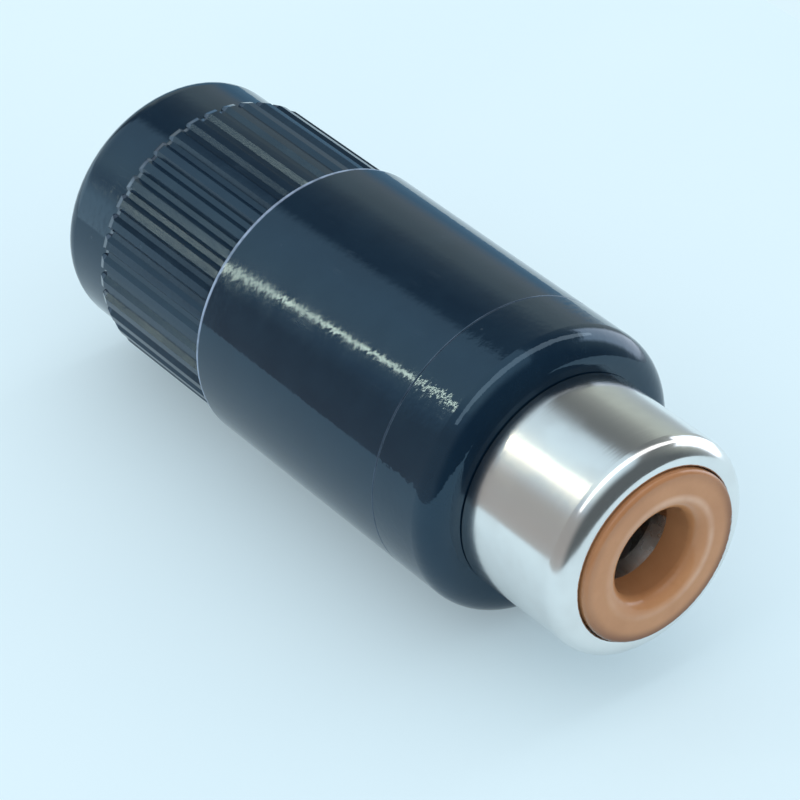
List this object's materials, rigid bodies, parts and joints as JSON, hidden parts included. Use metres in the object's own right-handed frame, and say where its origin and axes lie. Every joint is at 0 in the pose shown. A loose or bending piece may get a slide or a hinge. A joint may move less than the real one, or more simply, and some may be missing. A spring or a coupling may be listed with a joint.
{
  "type": "inline phono socket",
  "caption": "Cable-mounted phono socket: plated barrel with insulated centre contact in a black bush, under a screw-on ribbed cover with a cable hole.",
  "frame": {"origin": "middle of the cover's flat cable end, on the axis", "axes": "+Z along the axis, from the cable end out of the socket's mouth; -Y towards the ground lug's strip"},
  "size_m": [0.011, 0.0108, 0.0276],
  "materials": {
    "shell": "glossy black moulding with fine scuffs",
    "collar": "glossy black moulding, slightly uneven",
    "barrel": "bright nickel plate",
    "insulator": "satin orange-brown moulding",
    "centre_contact": "nickel plate, dulled",
    "ground_lug": "tinned sheet"
  },
  "bodies": {
    "core": {"collar": "collar", "barrel": "barrel", "insulator": "insulator", "centre_contact": "centre_contact", "ground_lug": "ground_lug"},
    "cover": {"shell": "shell"}
  },
  "joints": [
    {"name": "cover_slide", "type": "slide", "parent": "core", "child": "cover", "axis": [0, 0, -1], "range_m": [0, 0.016]}
  ]
}
